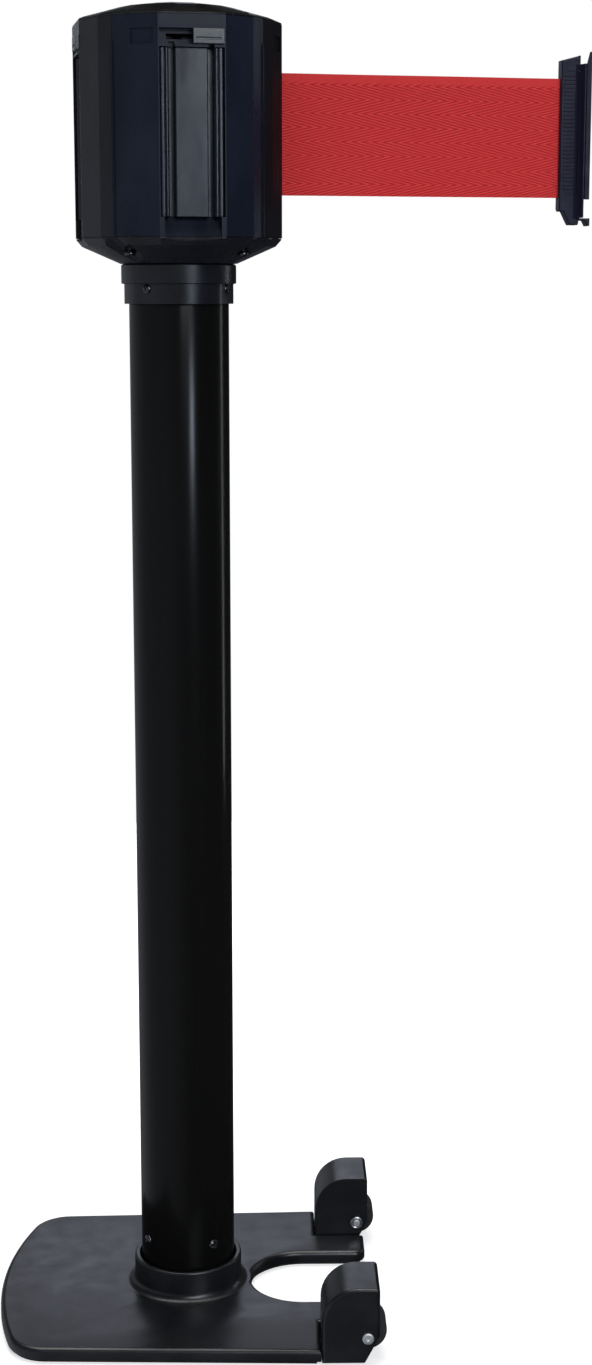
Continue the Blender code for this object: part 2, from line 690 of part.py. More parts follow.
def make_shell(name, station, mat):
    shell = place(prism(f"{name}_shell", shell_outline(), SHELL_LOW, SHELL_TOP, mat), station)
    half = CHANNEL_HALF
    outside = HEAD_RADIUS + 0.01
    channel = box(f"{name}_channel", (CHANNEL_BACK, -half, CHANNEL_LOW), (outside, half, CHANNEL_TOP))
    window = box(f"{name}_window", (WINDOW_BACK, -half, WINDOW_LOW), (outside, half, WINDOW_TOP))
    track_low = (SHELL_BACK - 0.009, -TRACK_HALF, TRACK_LOW)
    track = box(f"{name}_track", track_low, (HEAD_RADIUS, TRACK_HALF, TRACK_TOP))
    cut(shell, place(channel, station), place(window, station), place(track, station))
    cut(shell, pocket_cutter(f"{name}_pocket", station))
    for sign, word in ((-1, "left"), (1, "right")):
        near, far = sorted((sign * SLOT_INNER, sign * SLOT_OUTER))
        low = (ENTRY_BACK, near, CHANNEL_TOP - 0.002)
        entry = box(f"{name}_{word}_entry", low, (outside, far, WINDOW_LOW + 0.002))
        cut(shell, place(entry, station))
        join(shell, seam_rib(f"{name}_{word}_rib", sign, station))
    panel_low = (PANEL_FACE, -PANEL_HALF, WINDOW_LOW)
    panel = box(f"{name}_panel", panel_low, (outside, PANEL_HALF, WINDOW_TOP))
    cut(shell, place(panel, station, (0, 0, 0), (0, 0, math.radians(-27))))
    if name == "outlet":
        room = 0.004
        slit = box("outlet_slit", (0.05, -room, BELT_LOW - room), (HEAD_RADIUS, room, BELT_TOP + room))
        cut(shell, place(slit, station))
    return shell


def receiver_outline():
    """A receiver in plan: back, ribbed side walls, and a raised middle plate between two deep slots."""
    back = CHANNEL_BACK + GAP
    floor = back + 0.003
    wall = RECEIVER_WALL
    side = CHANNEL_HALF - GAP
    half = [
        (RECEIVER_FACE, 0.0),
        (RECEIVER_FACE, SLOT_INNER - 0.0008),
        (RECEIVER_FACE - 0.0008, SLOT_INNER),
        (floor, SLOT_INNER),
        (floor, SLOT_OUTER),
        (wall - 0.0016, SLOT_OUTER),
        (wall, SLOT_OUTER + 0.0012),
        (wall, SLOT_OUTER + 0.0022),
        (wall - 0.0014, SLOT_OUTER + 0.0030),
        (wall, SLOT_OUTER + 0.0038),
        (wall, side - 0.0014),
        (wall - 0.0012, side),
        (back, side),
    ]
    return [(x, -y) for x, y in reversed(half[1:])] + half


def make_receiver(name, station, mat):
    low = CHANNEL_LOW + GAP
    high = CHANNEL_TOP - GAP
    receiver = place(prism(name, receiver_outline(), low, high, mat), station)
    if name == "belt_outlet":
        half, room = 0.0035, 0.0025
        slit_low = (CHANNEL_BACK - 0.01, -half, BELT_LOW - room)
        slit = box("belt_slit", slit_low, (HEAD_RADIUS, half, BELT_TOP + room))
        cut(receiver, place(slit, station))
    return receiver


def make_lock(name, station, mat):
    """A thumb tab in the window, held by a stem and a flange behind the wall."""
    side = CHANNEL_HALF - 0.0004
    low = WINDOW_LOW + GAP
    high = WINDOW_TOP - GAP
    tab = box(f"{name}_lock", (LOCK_BACK, LOCK_INNER, low), (LOCK_FACE, side, high), mat)
    place(tab, station)
    stem_low = (FLANGE_BACK + 0.001, STEM_NEAR, TRACK_LOW + GAP)
    stem = box(f"{name}_stem", stem_low, (LOCK_BACK + 0.0008, STEM_FAR, TRACK_TOP - GAP))
    flange_low = (FLANGE_BACK, STEM_NEAR - 0.002, FLANGE_LOW)
    flange = box(f"{name}_flange", flange_low, (SHELL_BACK - 0.0004, STEM_FAR + 0.002, FLANGE_TOP))
    grip_low = (LOCK_FACE - 0.0007, LOCK_INNER + 0.0022, GRIP_LOW)
    grip = box(f"{name}_grip", grip_low, (HEAD_RADIUS + 0.01, side - 0.0025, GRIP_TOP))
    join(tab, place(stem, station), place(flange, station))
    cut(tab, place(grip, station))
    return tab


def make_cap(mat):
    rim = HEAD_RADIUS - 0.0003
    rings = [
        head_ring(TIE_RADIUS, CAP_LOW),
        head_ring(rim, CAP_LOW),
        head_ring(rim, CAP_LOW + 0.0008),
        head_ring(0.0750, CAP_LOW + 0.0024),
        head_ring(0.0460, CAP_TOP - 0.0032),
        head_ring(0.0260, CAP_TOP),
    ]
    wall = 0.0032
    hollow = 0.0735
    inside = [head_ring(hollow, CAP_LOW - 0.001), head_ring(hollow, CAP_LOW + 0.0005)]
    inside += [head_ring(0.0450, CAP_TOP - 0.0033 - wall), head_ring(0.0250, CAP_TOP - wall)]
    cap = solid("head_cap", rings, mat, smooth=8)
    cut(cap, solid("cap_hollow", inside, None))
    boss_radius = 0.0052
    boss_top = TIE_TOP + 0.0017
    for k, angle in enumerate(TIE_ANGLES):
        boss = turned(f"cap_boss_{k + 1}", [(boss_radius, CAP_LOW), (boss_radius, boss_top)], 12, None)
        tapping = drill(f"cap_tapping_{k + 1}", TIE_SCREW_RADIUS + 0.0004, 1.0, TIE_TOP + 0.0006, 10)
        join(cap, place(boss, None, tie_spot(angle)))
        cut(cap, place(tapping, None, tie_spot(angle)))
    return cap


def make_tie_screws(mat):
    """Long screws from under the cone to the cap, which hold the four shells between them."""
    seat = TIE_SEAT - GAP
    head = TIE_HEAD_RADIUS
    low = seat - 0.0037
    profile = [(head - 0.0002, low), (head, low + 0.0006), (head, seat)]
    profile += [(TIE_SCREW_RADIUS, seat), (TIE_SCREW_RADIUS, TIE_TOP)]
    for k, angle in enumerate(TIE_ANGLES):
        place(turned(f"tie_screw_{k + 1}", profile, 10, mat), None, tie_spot(angle))


# ---------------------------------------------------------------- belt cassette


def make_cassette_frame(mat):
    """A bent bracket: floor, back and roof, which carries the axle and the guide pins."""
    low, high, wall = CASSETTE_LOW, CASSETTE_TOP, 0.0025
    x0, x1 = -0.0530, 0.0570
    outline = [(x0, low), (x1, low), (x1, low + wall), (x0 + wall, low + wall)]
    outline += [(x0 + wall, high - wall), (x1, high - wall), (x1, high), (x0, high)]
    half = 0.030
    rings = [[(x, y, z) for x, z in outline] for y in (-half, half)]
    frame = solid("cassette_frame", rings, mat)
    below = low - 0.02
    above = high + 0.02
    fit = 0.00015
    cut(frame, drill("axle_seat", SPOOL_AXLE_RADIUS + fit, below, above))
    for k, sign in enumerate((-1, 1)):
        seat = drill(f"guide_seat_{k + 1}", GUIDE_RADIUS + fit, below, above, 10)
        cut(frame, place(seat, None, (GUIDE_X, sign * GUIDE_Y, 0)))
    return frame


def make_guide_pins(mat):
    low = CASSETTE_LOW - 0.0005
    high = CASSETTE_TOP + 0.0005
    for k, sign in enumerate((-1, 1)):
        pin = turned(f"guide_pin_{k + 1}", [(GUIDE_RADIUS, low), (GUIDE_RADIUS, high)], 10, mat)
        place(pin, None, (GUIDE_X, sign * GUIDE_Y, 0))


def make_spool(materials):
    bore = SPOOL_AXLE_RADIUS + 0.0001
    axle = [(SPOOL_AXLE_RADIUS, CASSETTE_LOW - 0.001), (SPOOL_AXLE_RADIUS, CASSETTE_TOP + 0.001)]
    turned("spool_axle", axle, 12, materials["steel"])
    flange = DRUM_FLANGE_RADIUS
    cup = flange - 0.0025
    cup_low = SPRING_LOW - 0.0015
    low_flange = BELT_LOW - 0.0010
    top_flange = BELT_TOP + 0.0010
    hub = 0.0080
    hub_top = 1.0000
    drum = [
        (bore, low_flange - 0.0025),
        (cup, low_flange - 0.0025),
        (cup, cup_low),
        (flange, cup_low),
        (flange, low_flange),
        (CORE_RADIUS, low_flange),
        (CORE_RADIUS, top_flange),
        (flange, top_flange),
        (flange, top_flange + 0.0022),
        (hub, top_flange + 0.0022),
        (hub, hub_top),
        (bore, hub_top),
    ]
    turned_ring("spool_drum", drum, 28, materials["nylon"])
    cover_top = cup_low - GAP
    rim = flange - 0.0010
    step = 0.0280
    inner = 0.0070
    cover = [(inner, cover_top - 0.0059), (step, cover_top - 0.0059), (step, cover_top - 0.0027)]
    cover += [(rim, cover_top - 0.0027), (rim, cover_top), (inner, cover_top)]
    turned_ring("spring_cover", cover, 28, materials["nylon"])
    roll_bore = CORE_RADIUS + GAP
    roll = [(roll_bore, BELT_LOW), (ROLL_RADIUS, BELT_LOW), (ROLL_RADIUS, BELT_TOP), (roll_bore, BELT_TOP)]
    turned_ring("belt_roll", roll, 36, materials["belt"])


def make_recoil_spring(mat):
    """A flat spiral in the drum's cup, as a strip swept along a spiral."""
    turns, steps = 7, 20
    start, end, strip = 0.0060, 0.0355, 0.0009
    rings = []
    for i in range(turns * steps + 1):
        angle = 2 * math.pi * i / steps
        radius = start + (end - start) * i / (turns * steps)
        x, y = math.cos(angle), math.sin(angle)
        inner = radius - strip / 2
        outer = radius + strip / 2
        ring = [(inner * x, inner * y, SPRING_LOW), (outer * x, outer * y, SPRING_LOW)]
        ring += [(outer * x, outer * y, SPRING_TOP), (inner * x, inner * y, SPRING_TOP)]
        rings.append(ring)
    return solid("recoil_spring", rings, mat)


# ---------------------------------------------------------------- belt and clip


def belt_path():
    """The belt's middle line in plan, from where it leaves the roll to its fold in the clip."""
    leave = ROLL_RADIUS + BELT_THICKNESS
    angle = math.acos(leave / (GUIDE_X - 0.004)) - 0.03
    start = (leave * math.cos(angle), leave * math.sin(angle))
    bend = [(GUIDE_X - 0.0035, 0.0014), (GUIDE_X - 0.001, 0.0004), (GUIDE_X + 0.003, 0.0)]
    return [start, *bend, (CLIP_X + FOLD_X, 0.0)]


def make_belt_web(mat):
    path = [Vector(point) for point in belt_path()]
    half = BELT_THICKNESS / 2
    left = []
    right = []
    for i, point in enumerate(path):
        along = (path[min(i + 1, len(path) - 1)] - path[max(i - 1, 0)]).normalized()
        side = Vector((-along.y, along.x)) * half
        left.append(tuple(point + side))
        right.append(tuple(point - side))
    return prism("belt_web", right + left[::-1], BELT_LOW, BELT_TOP, mat)


def clip_side_view():
    """The grip's side view as (x, z) from its left edge, anticlockwise from the foot under the belt."""
    foot = [(0.0, 0.8812), (0.0009, 0.8796), (0.0036, 0.8796)]
    tongue = [(0.0086, 0.8699), (0.0094, 0.8692), (0.0155, 0.8692), (0.0162, 0.8700), (0.0164, 0.8726)]
    claw = [(0.0211, 0.8728), (0.0230, 0.8694), (0.0237, 0.8684), (0.0256, 0.8688), (0.0256, FLARE_LOW)]
    nose = [(0.0131, RAIL_TOP), (0.0130, 0.9974), (0.0, 0.9940)]
    return foot + tongue + claw + [(CLIP_DEPTH, FLARE_LOW), (CLIP_DEPTH, RAIL_TOP)] + nose


def flare_outline():
    """The grip in plan where it widens in a curve to meet the rail."""
    half = [(0.0104, GRIP_HALF - 0.0010), (0.0118, GRIP_HALF + 0.0004), (0.0133, 0.0064)]
    half += [(0.0146, 0.0087), (0.0155, 0.0114), (0.0160, FLARE_HALF), (CLIP_DEPTH, FLARE_HALF)]
    return [(CLIP_X + x, -y) for x, y in half] + [(CLIP_X + x, y) for x, y in reversed(half)]


def make_clip_body(mat):
    """The grip, with a tongue and claw below it, a slit for the belt and room inside for its fold."""
    half = GRIP_HALF
    edge = 0.0008
    levels = [(-half, edge), (-half + edge, 0.0), (half - edge, 0.0), (half, edge)]
    shape = [(CLIP_X + x, z) for x, z in clip_side_view()]
    rings = [[(x, y, z) for x, z in inset(shape, depth)] for y, depth in levels]
    body = solid("clip_body", rings, mat)
    flare = prism("clip_flare", flare_outline(), FLARE_LOW + 0.0001, RAIL_TOP - 0.0001, None)
    join(body, flare)
    slit_half = 0.0009
    low = BELT_LOW - 0.001
    high = BELT_TOP + 0.001
    back = CLIP_X + CLIP_DEPTH + 0.01
    slit = box("clip_slit", (CLIP_X - 0.01, -slit_half, low), (CLIP_X + FOLD_X + 0.0018, slit_half, high))
    room = box("clip_room", (CLIP_X + FOLD_X, -FOLD_HALF, low), (back, FOLD_HALF, high))
    cut(body, slit, room)
    return [body, flare, slit, room]


def make_clip_rail(mat):
    """A plate with a prong down each side. Each prong ends in a fin that stands up above the grip."""
    back = CLIP_X + CLIP_DEPTH + GAP
    plate = 0.0014
    low = (back, -FLARE_HALF, RAIL_LOW + 0.001)
    rail = box("clip_rail", low, (back + plate, FLARE_HALF, RAIL_TOP - 0.001), mat)
    fin_back = RAIL_FRONT - 0.0034
    fin_root = RAIL_TOP - 0.008
    fin_side = [(fin_back, fin_root), (RAIL_FRONT, fin_root), (RAIL_FRONT, FIN_TOP)]
    fin_side += [(RAIL_FRONT - plate, FIN_TOP), (fin_back, RAIL_TOP + 0.0006)]
    pieces = [rail]
    for word, sign in (("left", -1), ("right", 1)):
        near, far = sorted((sign * PRONG_INNER, sign * PRONG_OUTER))
        prong = box(f"{word}_prong", (back, near, RAIL_LOW), (RAIL_FRONT, far, RAIL_TOP))
        fin = solid(f"{word}_fin", [[(x, y, z) for x, z in fin_side] for y in (near, far)], None)
        join(rail, prong, fin)
        pieces += [prong, fin]
    return pieces


def make_clip(axis, materials):
    """The grip, its rail, and the pin that wedges the belt's fold, all on the axis that the belt moves."""
    wedge = [(WEDGE_RADIUS, BELT_LOW), (WEDGE_RADIUS, BELT_TOP)]
    pin = turned("belt_wedge", wedge, 10, materials["steel"])
    pin.location = (CLIP_X + FOLD_X + 0.004, 0, 0)
    pieces = [pin, *make_clip_body(materials["clip_plastic"]), *make_clip_rail(materials["clip_plastic"])]
    for obj in pieces:
        obj.parent = axis
        obj.matrix_parent_inverse = axis.matrix_world.inverted()


# ---------------------------------------------------------------- the whole stanchion


def make_materials():
    return {
        "cast_paint": make_material("cast_paint", (0.030, 0.031, 0.036), 0.38),
        "post_paint": make_material("post_paint", (0.008, 0.008, 0.009), 0.18),
        "head_plastic": make_material("head_plastic", (0.012, 0.013, 0.018), 0.32),
        "clip_plastic": make_material("clip_plastic", (0.012, 0.012, 0.022), 0.42),
        "nylon": make_material("nylon", (0.02, 0.02, 0.022), 0.45),
        "tyre": make_material("tyre", (0.012, 0.012, 0.012), 0.7),
        "rubber": make_material("rubber", (0.015, 0.015, 0.015), 0.8),
        "belt": make_material("belt", (0.55, 0.025, 0.03), 0.75),
        "steel": make_material("steel", (0.62, 0.62, 0.62), 0.3, 1.0),
        "black_steel": make_material("black_steel", (0.03, 0.03, 0.03), 0.35, 0.6),
        "cast": make_material("cast", (0.10, 0.10, 0.10), 0.6, 0.4),
    }


def main():
    clear_scene()
    materials = make_materials()
    base = make_empty("base_frame", (0, 0, 0), BASE_TURN)
    make_floor_pad(base, materials["rubber"])
    make_base_plate(base, materials["cast_paint"])
    make_base_bolt(materials["steel"])
    for side, sign in (("front", -1), ("rear", 1)):
        make_fender(side, sign, base, materials["cast_paint"])
        make_fender_screw(side, sign, base, materials["steel"])
        make_wheel(side, sign, base, materials)
        make_axle(side, sign, base, materials["steel"])
    make_post(materials)
    make_neck(materials)

    stations = {}
    for name, degrees in STATIONS.items():
        stations[name] = make_empty(f"{name}_station", (0, 0, 0), math.radians(degrees))
    make_cone(stations, materials["head_plastic"])
    for name, station in stations.items():
        make_shell(name, station, materials["head_plastic"])
        if name == "outlet":
            make_receiver("belt_outlet", station, materials["head_plastic"])
        else:
            make_receiver(f"{name}_receiver", station, materials["head_plastic"])
            make_lock(name, station, materials["clip_plastic"])
    make_cap(materials["head_plastic"])
    make_tie_screws(materials["black_steel"])
    make_cassette_frame(materials["steel"])
    make_guide_pins(materials["steel"])
    make_spool(materials)
    make_recoil_spring(materials["steel"])

    make_belt_web(materials["belt"])
    clip_axis = make_empty("clip_axis", (CLIP_X, 0, BELT_MIDDLE))
    bpy.context.view_layer.update()
    make_clip(clip_axis, materials)


main()
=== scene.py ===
"""The looks of a retractable belt stanchion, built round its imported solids. Metres, +Z up.
The head faces the axes, with the belt along +X. The base is turned a little under the post."""

import math

import bmesh
import bpy
from mathutils import Matrix, Vector


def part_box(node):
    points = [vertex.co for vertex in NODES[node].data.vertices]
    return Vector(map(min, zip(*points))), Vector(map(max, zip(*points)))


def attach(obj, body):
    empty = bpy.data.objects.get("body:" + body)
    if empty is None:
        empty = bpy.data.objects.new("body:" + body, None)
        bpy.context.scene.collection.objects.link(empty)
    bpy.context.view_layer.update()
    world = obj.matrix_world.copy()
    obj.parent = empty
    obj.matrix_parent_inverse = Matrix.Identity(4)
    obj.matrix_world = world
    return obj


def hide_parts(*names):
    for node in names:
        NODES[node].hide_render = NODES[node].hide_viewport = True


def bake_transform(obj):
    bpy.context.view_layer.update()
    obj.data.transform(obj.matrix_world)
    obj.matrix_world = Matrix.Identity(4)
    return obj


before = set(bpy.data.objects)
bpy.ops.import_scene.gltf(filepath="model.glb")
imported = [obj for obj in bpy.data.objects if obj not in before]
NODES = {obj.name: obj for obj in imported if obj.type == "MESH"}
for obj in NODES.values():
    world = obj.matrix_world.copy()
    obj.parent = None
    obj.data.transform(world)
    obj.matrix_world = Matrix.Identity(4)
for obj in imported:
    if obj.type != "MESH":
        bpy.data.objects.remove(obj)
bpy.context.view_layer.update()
SCENE = bpy.context.scene

# Sizes repeated from the solids
GAP = 0.0003
BASE_TURN = math.radians(-10.6)
PLATE_LOW = 0.0023
PLATE_TOP = 0.0122
END_X = -0.1533
END_ARC_RADIUS = 0.336
CORNER_RADIUS = 0.032
SIDE_TAPER = 0.030
NOTCH_X = 0.096
NOTCH_RADIUS = 0.0438
ARM_END_X = 0.149
ARM_CORNER = 0.010
BOSS_RADIUS = 0.0439
BOSS_BORE = 0.0393
BOSS_TOP = 0.0359
FENDER_X0 = 0.1076
FENDER_INNER_Y = 0.080
FENDER_OUTER_Y = 0.129
WHEEL_MIDDLE_Y = 0.1045
WHEEL_RADIUS = 0.0153
AXLE_X = 0.1432
AXLE_Z = 0.0225
AXLE_RADIUS = 0.0030
POST_RADIUS = 0.0381
POST_WALL = 0.002
POST_FOOT = 0.0125
POST_TOP = 0.832
COLLAR_ANGLES = [math.radians(degrees) for degrees in (45, 145, 225, 325)]
FOOT_ANGLES = [math.radians(24 + 90 * k) for k in range(4)]
COLLAR_SCREW_HEIGHT = 0.8195
FOOT_SCREW_HEIGHT = 0.055
GRIP_HALF = 0.0048
RIBS_LOW = 0.8955
RIBS_TOP = 0.9840


# ---------------------------------------------------------------- materials


class Shader:
    """A Principled material whose colour, roughness and bump are built up from small node chains."""

    def __init__(self, name, colour, roughness, metallic=0.0, coat=0.0, coat_roughness=0.05):
        self.mat = bpy.data.materials.new(name)
        self.mat.use_nodes = True
        self.tree = self.mat.node_tree
        self.bsdf = self.tree.nodes["Principled BSDF"]
        self.colour = (*colour, 1.0)
        self.set("Base Color", self.colour)
        self.set("Roughness", roughness)
        self.set("Metallic", metallic)
        self.set("Coat Weight", coat)
        self.set("Coat Roughness", coat_roughness)
        self.normal = None
        coords = self.tree.nodes.new("ShaderNodeTexCoord")
        self.coords = coords.outputs["Object"]

    def set(self, name, value):
        self.bsdf.inputs[name].default_value = value

    def link(self, output, socket):
        self.tree.links.new(output, socket)

    def node(self, kind, **inputs):
        made = self.tree.nodes.new(kind)
        for name, value in inputs.items():
            socket = made.inputs[name]
            if isinstance(value, bpy.types.NodeSocket):
                self.link(value, socket)
            else:
                socket.default_value = value
        return made

    def math(self, operation, *values):
        made = self.tree.nodes.new("ShaderNodeMath")
        made.operation = operation
        for socket, value in zip(made.inputs, values):
            if isinstance(value, bpy.types.NodeSocket):
                self.link(value, socket)
            else:
                socket.default_value = value
        return made.outputs[0]

    def noise(self, scale, detail=2.0, roughness=0.5, stretch=None):
        """Noise with cells about 1/scale metres across, stretched along an axis if asked."""
        coords = self.coords
        if stretch is not None:
            mapping = self.node("ShaderNodeMapping", Vector=coords)
            mapping.inputs["Scale"].default_value = stretch
            coords = mapping.outputs[0]
        made = self.node("ShaderNodeTexNoise", Vector=coords, Scale=scale, Detail=detail)
        made.inputs["Roughness"].default_value = roughness
        return made.outputs["Fac"]

    def remap(self, value, low, high, out_low, out_high):
        made = self.tree.nodes.new("ShaderNodeMapRange")
        self.link(value, made.inputs["Value"])
        limits = (low, high, out_low, out_high)
        for name, number in zip(("From Min", "From Max", "To Min", "To Max"), limits):
            made.inputs[name].default_value = number
        return made.outputs["Result"]

    def vary_roughness(self, value, low, high):
        self.link(self.remap(value, 0.3, 0.7, low, high), self.bsdf.inputs["Roughness"])

    def mix_colour(self, factor, first, second):
        made = self.tree.nodes.new("ShaderNodeMix")
        made.data_type = "RGBA"
        self.link(factor, made.inputs["Factor"])
        for socket, value in ((made.inputs[6], first), (made.inputs[7], second)):
            if isinstance(value, bpy.types.NodeSocket):
                self.link(value, socket)
            else:
                socket.default_value = (*value, 1.0)
        return made.outputs[2]

    def bump(self, height, distance, strength=1.0):
        made = self.node("ShaderNodeBump", Height=height, Distance=distance, Strength=strength)
        if self.normal is not None:
            self.link(self.normal, made.inputs["Normal"])
        self.normal = made.outputs["Normal"]
        self.link(self.normal, self.bsdf.inputs["Normal"])


def cast_paint():
    """Black powder coat over a casting: orange peel, a slow waviness, and dusty patches."""
    shader = Shader("cast_paint", (0.006, 0.0065, 0.008), 0.4)
    dust = shader.remap(shader.noise(26, 5, 0.6), 0.42, 0.75, 0.0, 1.0)
    colour = shader.mix_colour(dust, (0.0045, 0.0050, 0.0065), (0.0105, 0.0110, 0.0135))
    shader.link(colour, shader.bsdf.inputs["Base Color"])
    shader.vary_roughness(shader.noise(60, 4, 0.6), 0.28, 0.38)
    shader.set("Specular IOR Level", 0.50)
    shader.bump(shader.noise(28, 2), 0.0006, 0.5)
    shader.bump(shader.noise(900, 2), 0.00006, 0.6)
    return shader.mat


def post_paint():
    """Gloss black paint on drawn tube: faint lengthwise draw lines under the gloss."""
    shader = Shader("post_paint", (0.0040, 0.0040, 0.0040), 0.2)
    shader.set("Specular IOR Level", 0.14)
    shader.vary_roughness(shader.noise(40, 3, 0.5, (1, 1, 0.08)), 0.15, 0.25)
    shader.bump(shader.noise(220, 2, 0.5, (1, 1, 0.02)), 0.00004, 0.6)
    shader.bump(shader.noise(1100, 2), 0.00002, 0.4)
    return shader.mat


def head_plastic(name="head_plastic", colour=(0.0050, 0.0056, 0.0080), low=0.24, high=0.36, specular=0.35):
    """Semi-gloss moulded black plastic with a fine grain, faint flow marks and handling haze."""
    shader = Shader(name, colour, 0.3)
    shader.set("Specular IOR Level", specular)
    haze = shader.remap(shader.noise(18, 4, 0.6, (1, 1, 0.4)), 0.45, 0.8, 0.0, 1.0)
    lighter = tuple(channel * 1.9 for channel in colour)
    shader.link(shader.mix_colour(haze, colour, lighter), shader.bsdf.inputs["Base Color"])
    shader.vary_roughness(shader.noise(70, 4, 0.6, (1, 1, 0.3)), low, high)
    shader.bump(shader.noise(2400, 2), 0.00003, 0.5)
    return shader.mat


def receiver_plastic():
    """The glossier moulding of the receivers, with a bluer colour that is painted reflection of a bluish
    light.
    """
    return head_plastic("receiver_plastic", (0.0060, 0.0075, 0.0135), 0.20, 0.30, 0.5)


def lock_plastic():
    shader = Shader("lock_plastic", (0.030, 0.034, 0.036), 0.30)
    shader.vary_roughness(shader.noise(160, 4), 0.24, 0.38)
    shader.bump(shader.noise(1800, 2), 0.00004, 0.6)
    return shader.mat


def clip_plastic():
    # Dark plastic; its colour is raised and turned bluer as painted light on the grip's flaring sides.
    shader = Shader("clip_plastic", (0.0080, 0.0078, 0.0200), 0.42)
    shader.set("Specular IOR Level", 0.15)
    shader.vary_roughness(shader.noise(90, 4), 0.34, 0.48)
    shader.bump(shader.noise(1800, 2), 0.00004, 0.6)
    return shader.mat


def nylon():
    shader = Shader("nylon", (0.018, 0.018, 0.020), 0.45)
    shader.vary_roughness(shader.noise(120, 3), 0.38, 0.52)
    shader.bump(shader.noise(1500, 2), 0.00004, 0.5)
    return shader.mat


def tread_rubber(name, colour):
    shader = Shader(name, colour, 0.7)
    dust = shader.remap(shader.noise(140, 4, 0.6), 0.45, 0.75, 0.0, 1.0)
    lighter = tuple(channel * 2.2 for channel in colour)
    shader.link(shader.mix_colour(dust, colour, lighter), shader.bsdf.inputs["Base Color"])
    shader.vary_roughness(shader.noise(300, 3), 0.6, 0.8)
    shader.bump(shader.noise(1600, 3), 0.0001, 0.6)
    return shader.mat


def metal(name, colour, low, high, stretch=(1, 1, 1)):
    """Worn metal: its roughness varies in fine streaks along the stretched axis."""
    shader = Shader(name, colour, low, 1.0)
    shader.vary_roughness(shader.noise(500, 3, 0.6, stretch), low, high)
    shader.bump(shader.noise(900, 2, 0.5, stretch), 0.00003, 0.4)
    return shader.mat


def woven_belt():
    """Herringbone webbing: twill that slants one way and then the other in bands, in crossing yarns."""
    band, first_band, plain = 0.0105, 0.0184, 0.0065
    pitch, slope, yarn = 0.00205, 0.25, 0.00095
    shader = Shader("woven_belt", (0.55, 0.028, 0.030), 0.72)
    shader.set("Sheen Weight", 0.08)
    shader.set("Sheen Roughness", 0.4)
    shader.set("Specular IOR Level", 0.15)
    split = shader.node("ShaderNodeSeparateXYZ", Vector=shader.coords)
    x, z = split.outputs["X"], split.outputs["Z"]
    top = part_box("belt_web")[1].z
    down = shader.math("SUBTRACT", top, z)
    folded = shader.math("PINGPONG", shader.math("SUBTRACT", down, first_band), band)
    wobble = shader.math("MULTIPLY", shader.noise(220, 2), 0.0006)
    phase = shader.math("ADD", shader.math("MULTIPLY", x, slope), shader.math("ADD", folded, wobble))
    turns = shader.math("MULTIPLY", phase, 2 * math.pi / pitch)
    twill = shader.remap(shader.math("SINE", turns), -1.0, 1.0, 0.0, 1.0)
    slant = shader.math("ADD", x, shader.math("MULTIPLY", z, 0.35))
    cross = shader.math("MULTIPLY", slant, 2 * math.pi / yarn)
    cross = shader.remap(shader.math("SINE", cross), -1.0, 1.0, 0.0, 1.0)
    inside = shader.remap(down, plain - 0.0006, plain + 0.0006, 0.0, 1.0)
    ribs = shader.math("MULTIPLY", twill, inside)
    ground = shader.math("MULTIPLY", shader.math("SUBTRACT", 1.0, inside), 0.62)
    height = shader.math("ADD", shader.math("ADD", ribs, ground), shader.math("MULTIPLY", cross, 0.35))
    # The red follows the weave's height, darker in the grooves and lighter on the ribs: painted shade and
    # painted highlight.
    painted_weave_shade = shader.remap(height, 0.15, 0.95, 0.0, 1.0)
    colour = shader.mix_colour(painted_weave_shade, (0.300, 0.0085, 0.0130), (0.640, 0.0420, 0.0400))
    patch = shader.remap(shader.noise(45, 3), 0.3, 0.7, 0.0, 0.28)
    colour = shader.mix_colour(patch, colour, (0.520, 0.0200, 0.0230))
    shader.link(colour, shader.bsdf.inputs["Base Color"])
    shader.bump(height, 0.00022, 0.9)
    return shader.mat


# ---------------------------------------------------------------- shapes


def from_bmesh(name, bm, mat, smooth=30):
    mesh = bpy.data.meshes.new(name)
    bmesh.ops.recalc_face_normals(bm, faces=bm.faces)
    bm.to_mesh(mesh)
    bm.free()
    mesh.materials.append(mat)
    mesh.shade_smooth()
    mesh.set_sharp_from_angle(angle=math.radians(smooth))
    obj = bpy.data.objects.new(name, mesh)
    SCENE.collection.objects.link(obj)
    return obj


def skin(bm, rows, closed=False):
    """Faces through rows of equally many vertices, capped at both ends or joined end to start."""
    pairs = list(zip(rows, rows[1:]))
    if closed:
        pairs.append((rows[-1], rows[0]))
    else:
        bm.faces.new(rows[0])
        bm.faces.new(rows[-1])
    for low, high in pairs:
        for i in range(len(low)):
            j = (i + 1) % len(low)
            bm.faces.new((low[i], low[j], high[j], high[i]))


def loft(name, rings, mat, closed=False, smooth=30):
    """A solid through rings of equally many points, capped at its ends or joined end to start."""
    bm = bmesh.new()
    rows = [[bm.verts.new(point) for point in ring] for ring in rings]
    skin(bm, rows, closed)
    return from_bmesh(name, bm, mat, smooth)


def lathe(name, profile, count, mat, closed=False, smooth=30):
    """A solid turned about Z from (radius, height) points; with closed, a ring."""
    step = 2 * math.pi / count
    turns = [(math.cos(step * i), math.sin(step * i)) for i in range(count)]
    rings = [[(r * c, r * s, z) for c, s in turns] for r, z in profile]
    return loft(name, rings, mat, closed, smooth)


def arc(centre, radius, start, end, count):
    """Points on an arc from start to end, in degrees, with both ends."""
    angles = [math.radians(start + (end - start) * i / count) for i in range(count + 1)]
    return [(centre[0] + radius * math.cos(a), centre[1] + radius * math.sin(a)) for a in angles]


